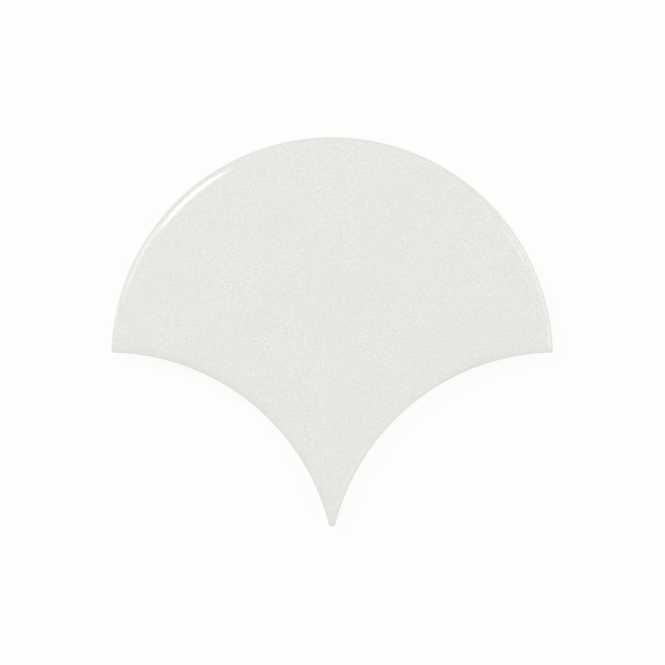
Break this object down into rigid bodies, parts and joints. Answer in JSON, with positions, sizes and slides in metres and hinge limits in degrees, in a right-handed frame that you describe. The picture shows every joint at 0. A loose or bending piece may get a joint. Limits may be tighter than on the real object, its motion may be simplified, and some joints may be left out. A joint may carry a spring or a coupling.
{
  "type": "fish scale tile",
  "caption": "Fan-shaped glazed wall tile with a round top edge, two hollow flanks that nest round the next row, a cushioned face and a keyed flat back.",
  "frame": {"origin": "centre of the round upper edge's arc, on the plane of the back", "axes": "+X across the tile, +Y to the top of the round edge, -Y to the point, +Z out of the glazed face"},
  "size_m": [0.12, 0.1058, 0.0085],
  "materials": {
    "glazed_face": "glossy off-white glaze on the face and upper edge, bare white clay on the lower sides and back"
  },
  "bodies": {
    "root": {"fish_scale_tile": "glazed_face"}
  },
  "joints": []
}
